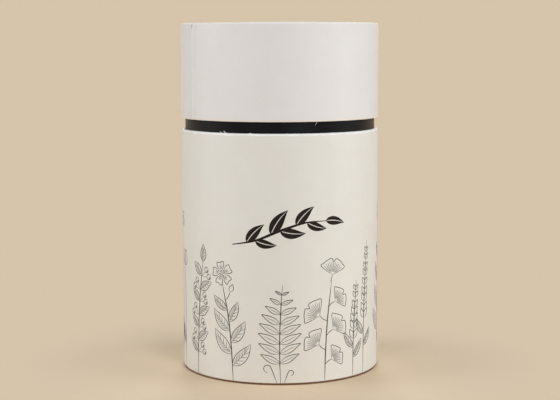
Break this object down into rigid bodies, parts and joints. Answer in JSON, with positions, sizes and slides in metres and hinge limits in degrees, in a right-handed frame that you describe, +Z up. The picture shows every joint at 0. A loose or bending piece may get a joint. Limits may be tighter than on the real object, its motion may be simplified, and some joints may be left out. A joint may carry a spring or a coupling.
{
  "type": "cylindrical gift tube box",
  "caption": "Round paperboard gift tube: a paper-wrapped body with a dark glued-in neck, and a lift-off cap that slides over the neck.",
  "frame": {"origin": "centre of the foot, on the surface that the tube stands on", "axes": "+Z up along the tube's axis, the front faces -Y, +X to the right of the front"},
  "size_m": [0.083, 0.083, 0.145],
  "materials": {
    "kraft_board": "matte",
    "cream_wrap": "matte",
    "white_wrap": "matte",
    "black_paper": "satin",
    "lining_paper": "matte",
    "print_ink": "matte"
  },
  "bodies": {
    "tube": {"body_tube": "kraft_board", "body_wrap": "cream_wrap", "neck_tube": "kraft_board", "neck_wrap": "black_paper", "inner_liner": "lining_paper", "base_disc": "kraft_board", "base_paper": "cream_wrap", "floor_liner": "lining_paper"},
    "cap": {"cap_tube": "kraft_board", "cap_wrap": "white_wrap", "cap_disc": "kraft_board", "cap_top_paper": "white_wrap", "cap_liner": "lining_paper", "cap_disc_liner": "lining_paper"}
  },
  "joints": [
    {"name": "cap_lift", "type": "slide", "parent": "tube", "child": "cap", "axis": [0, 0, 1], "range_m": [0, 0.055]}
  ]
}
